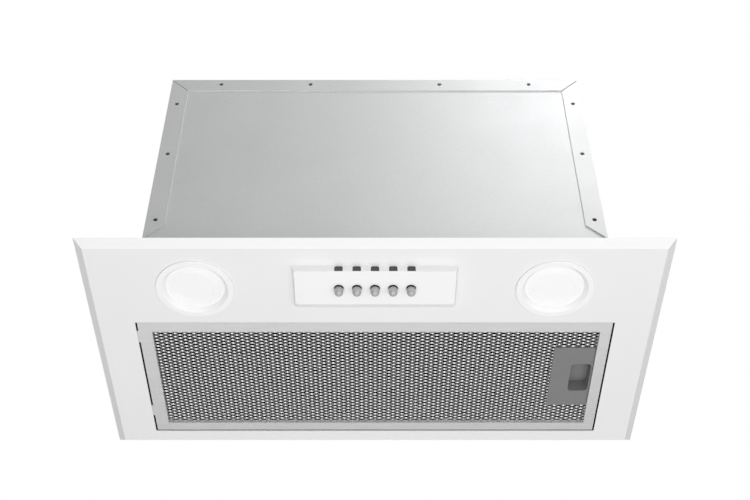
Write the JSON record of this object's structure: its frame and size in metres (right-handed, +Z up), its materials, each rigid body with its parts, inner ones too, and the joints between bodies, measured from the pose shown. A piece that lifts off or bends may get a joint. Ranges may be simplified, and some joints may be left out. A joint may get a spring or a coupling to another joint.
{
  "type": "under cabinet range hood",
  "caption": "Built-in range hood with a bevelled fascia, two lamps, push buttons, a swing-down grease filter, a sheet-metal housing and a round top duct collar.",
  "frame": {"origin": "middle of the fascia rim, on the plane of the rim's upper face, which seats against the cabinet's underside", "axes": "+Z up as installed, front (control side) towards -Y, +X to the right seen from the front"},
  "size_m": [0.53, 0.29, 0.3248],
  "materials": {
    "white_enamel": "smooth semi-gloss white enamel on sheet steel",
    "galvanised": "galvanised sheet with a fine spangle",
    "zinc_fastener": "bright zinc-plated steel",
    "filter_aluminium": "plain rolled aluminium",
    "tray_black": "black painted sheet steel",
    "core_fleece": "dark synthetic fleece behind the front mesh",
    "latch_grey": "mid-grey moulded plastic, fine matt texture",
    "white_plastic": "white moulded plastic",
    "lens_frosted": "frosted white diffuser",
    "button_silver": "silver-grey satin caps",
    "smoked_window": "smoked dark inserts",
    "black_plastic": "black moulded plastic",
    "motor_enamel": "dark painted motor case",
    "shaft_steel": "ground steel",
    "spring_steel": "spring steel",
    "circuit_board": "green solder mask"
  },
  "bodies": {
    "root": {"fascia_panel": "white_enamel", "plenum_tray": "tray_black", "housing_rivets": "zinc_fastener", "housing_left": "galvanised", "housing_right": "galvanised", "housing_front": "galvanised", "housing_rear": "galvanised", "housing_top": "galvanised", "duct_collar": "black_plastic", "collar_screws": "zinc_fastener", "damper_pins": "shaft_steel", "scroll_wrap": "galvanised", "scroll_side_left": "galvanised", "scroll_side_right": "galvanised", "inlet_ring_left": "black_plastic", "inlet_ring_right": "black_plastic", "scroll_brackets": "galvanised", "motor_body": "motor_enamel", "motor_bracket": "galvanised", "fan_screws": "zinc_fastener", "motor_capacitor": "white_plastic", "capacitor_clip": "galvanised", "terminal_box": "black_plastic", "terminal_box_lid": "black_plastic", "lid_screws": "zinc_fastener", "terminal_block": "white_plastic", "cable_gland": "black_plastic", "lamp_driver": "white_plastic", "roof_screws": "zinc_fastener", "lamp_bezel_left": "white_plastic", "lamp_bezel_right": "white_plastic", "lamp_lens_left": "lens_frosted", "lamp_lens_right": "lens_frosted", "lamp_module_left": "filter_aluminium", "lamp_module_right": "filter_aluminium", "lamp_clips": "spring_steel", "control_box": "white_plastic", "indicator_windows": "smoked_window", "switch_bodies": "black_plastic", "switch_bracket": "galvanised", "switch_board": "circuit_board", "control_screws": "zinc_fastener"},
    "flap_front": {"damper_flap_front": "black_plastic"},
    "flap_rear": {"damper_flap_rear": "black_plastic"},
    "rotor": {"impeller": "black_plastic", "hub_screw": "zinc_fastener", "motor_shaft": "shaft_steel"},
    "button_1": {"button_1": "button_silver"},
    "button_2": {"button_2": "button_silver"},
    "button_3": {"button_3": "button_silver"},
    "button_4": {"button_4": "button_silver"},
    "button_5": {"button_5": "button_silver"},
    "filter": {"filter_frame": "filter_aluminium", "filter_mesh_front": "filter_aluminium", "filter_core": "core_fleece", "filter_mesh_back": "filter_aluminium", "filter_tabs": "filter_aluminium", "latch_plate": "latch_grey", "latch_spring": "spring_steel"},
    "latch": {"latch_slider": "latch_grey"}
  },
  "joints": [
    {"name": "impeller_spin", "type": "hinge", "parent": "root", "child": "rotor", "pos_m": [0, -0.032, 0.128], "axis": [1, 0, 0], "continuous": true},
    {"name": "flap_front_swing", "type": "hinge", "parent": "root", "child": "flap_front", "pos_m": [0, 0.026, 0.263], "axis": [-1, 0, 0], "range_deg": [0, 75]},
    {"name": "flap_rear_swing", "type": "hinge", "parent": "root", "child": "flap_rear", "pos_m": [0, 0.034, 0.263], "axis": [1, 0, 0], "range_deg": [0, 75]},
    {"name": "button_1_press", "type": "slide", "parent": "root", "child": "button_1", "axis": [0, 0, 1], "range_m": [0, 0.003], "stiffness_N_per_m": 400, "springref_m": -0.002},
    {"name": "button_2_press", "type": "slide", "parent": "root", "child": "button_2", "axis": [0, 0, 1], "range_m": [0, 0.003], "stiffness_N_per_m": 400, "springref_m": -0.002},
    {"name": "button_3_press", "type": "slide", "parent": "root", "child": "button_3", "axis": [0, 0, 1], "range_m": [0, 0.003], "stiffness_N_per_m": 400, "springref_m": -0.002},
    {"name": "button_4_press", "type": "slide", "parent": "root", "child": "button_4", "axis": [0, 0, 1], "range_m": [0, 0.003], "stiffness_N_per_m": 400, "springref_m": -0.002},
    {"name": "button_5_press", "type": "slide", "parent": "root", "child": "button_5", "axis": [0, 0, 1], "range_m": [0, 0.003], "stiffness_N_per_m": 400, "springref_m": -0.002},
    {"name": "filter_swing", "type": "hinge", "parent": "root", "child": "filter", "pos_m": [-0.2234, 0, -0.0052], "axis": [0, 1, 0], "range_deg": [0, 75]},
    {"name": "latch_slide", "type": "slide", "parent": "filter", "child": "latch", "axis": [-1, 0, 0], "range_m": [0, 0.005], "stiffness_N_per_m": 500, "springref_m": -0.004, "deforming": ["latch_spring"]}
  ]
}
